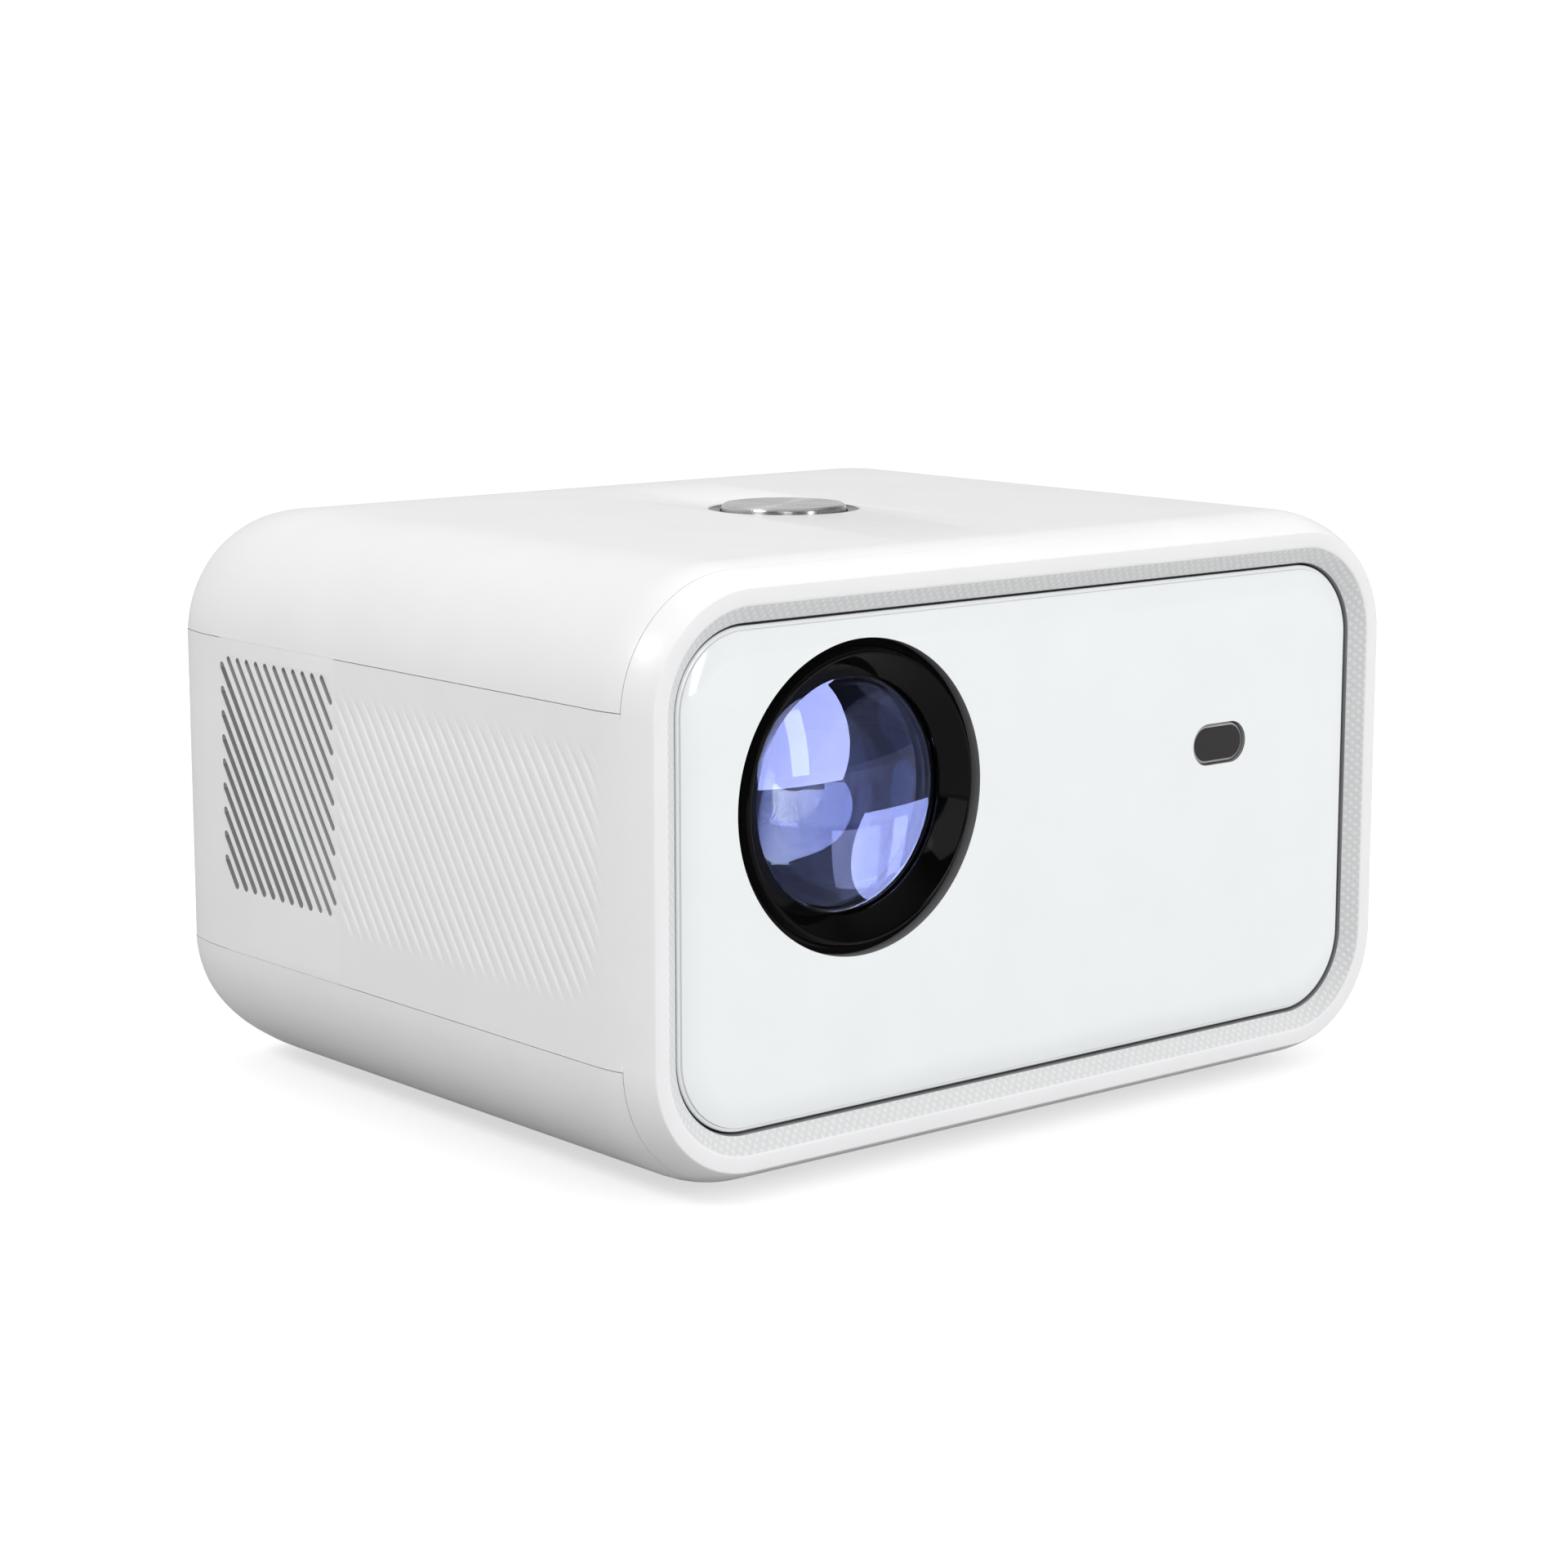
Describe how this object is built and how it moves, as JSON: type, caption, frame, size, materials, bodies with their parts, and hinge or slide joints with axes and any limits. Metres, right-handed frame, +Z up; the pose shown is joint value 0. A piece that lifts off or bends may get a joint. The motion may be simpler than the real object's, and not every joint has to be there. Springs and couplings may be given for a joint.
{
  "type": "home projector",
  "caption": "Home projector in a rounded white case: recessed front lens, infrared window, metal power button, slanted side grilles and a motor-driven focus.",
  "frame": {"origin": "on the floor under the middle of the projector's bounding box", "axes": "+Z up; the lens looks along -Y; +X is to the right as seen from in front"},
  "size_m": [0.2088, 0.163, 0.123],
  "materials": {
    "white_case": "fine satin, moulded",
    "white_panel": "high gloss",
    "black_plastic": "matte",
    "black_gloss": "polished",
    "window": "infrared-clear, polished",
    "button_metal": "spun with a diamond-cut edge",
    "coated_glass": "anti-reflection coated",
    "clear_glass": "clear",
    "lcd": "polarised display glass",
    "barrel_metal": "black anodised",
    "nylon": "moulded nylon",
    "steel": "zinc plated",
    "bare_aluminium": "extruded",
    "brass": "turned",
    "copper_coil": "enamelled wire",
    "green_board": "solder mask",
    "chip": "moulded epoxy",
    "capacitor": "sleeved",
    "led_phosphor": "phosphor under silicone",
    "mesh": "woven mesh",
    "foam": "open-cell foam",
    "orange_film": "polyimide film",
    "paper_cone": "pressed paper",
    "rubber": "matte"
  },
  "bodies": {
    "housing": {"front_frame": "white_case", "top_cover": "white_case", "bottom_cover": "white_case", "rear_panel": "white_case", "front_panel": "white_panel", "panel_carrier": "black_plastic", "lens_trim_ring": "black_gloss", "remote_window": "window", "remote_board": "green_board", "remote_receiver": "chip", "button_ring": "black_gloss", "button_board": "green_board", "button_switch": "chip", "lens_tube": "barrel_metal", "focus_motor": "steel", "optical_box": "black_plastic", "fresnel_lenses": "clear_glass", "display_frame": "steel", "display_panel": "lcd", "heat_glass": "clear_glass", "condenser_lens": "clear_glass", "led_board": "bare_aluminium", "led_emitter": "led_phosphor", "heat_sink": "bare_aluminium", "fan_frame": "black_plastic", "fan_stator": "copper_coil", "blower_housing": "black_plastic", "dust_mesh": "mesh", "dust_filter": "foam", "main_board": "green_board", "board_chips": "chip", "board_capacitors": "capacitor", "chip_cooler": "bare_aluminium", "wireless_module": "steel", "display_flex": "orange_film", "video_socket": "steel", "usb_sockets": "steel", "audio_jack": "black_plastic", "power_inlet": "black_plastic", "inlet_pins": "brass", "power_board": "green_board", "transformer": "copper_coil", "power_capacitors": "capacitor", "speaker_box": "black_plastic", "speaker_driver": "steel", "speaker_cone": "paper_cone", "feet": "rubber", "tripod_insert": "brass", "base_screws": "steel", "rear_screws": "steel"},
    "power_button": {"power_button": "button_metal"},
    "exhaust_fan": {"fan_rotor": "black_plastic"},
    "blower": {"blower_rotor": "black_plastic"},
    "focus_ring": {"focus_ring": "nylon"},
    "lens_group": {"lens_barrel": "barrel_metal", "lens_retainer": "black_gloss", "front_lens": "coated_glass", "middle_lens": "coated_glass", "rear_lens": "coated_glass"},
    "focus_pinion": {"focus_pinion": "nylon"}
  },
  "joints": [
    {"name": "power_press", "type": "slide", "parent": "housing", "child": "power_button", "axis": [0, 0, -1], "range_m": [0, 0.0008], "stiffness_N_per_m": 900},
    {"name": "exhaust_spin", "type": "hinge", "parent": "housing", "child": "exhaust_fan", "pos_m": [-0.094, 0.0413, 0.0676], "axis": [1, 0, 0], "continuous": true},
    {"name": "blower_spin", "type": "hinge", "parent": "housing", "child": "blower", "pos_m": [-0.0478, -0.0115, 0.017], "axis": [0, 0, 1], "continuous": true},
    {"name": "focus_turn", "type": "hinge", "parent": "housing", "child": "focus_ring", "pos_m": [-0.0478, -0.0555, 0.0749], "axis": [0, 1, 0], "range_deg": [0, 120]},
    {"name": "lens_slide", "type": "slide", "parent": "housing", "child": "lens_group", "axis": [0, 1, 0], "range_m": [0, 0.004]},
    {"name": "pinion_spin", "type": "hinge", "parent": "housing", "child": "focus_pinion", "pos_m": [-0.0058, -0.0607, 0.0749], "axis": [0, 1, 0], "range_deg": [-581, 1]}
  ],
  "couplings": [
    {"joint": "focus_turn", "follows": "lens_slide", "rad_per_m": 523.6},
    {"joint": "pinion_spin", "follows": "lens_slide", "rad_per_m": -2530.7}
  ]
}
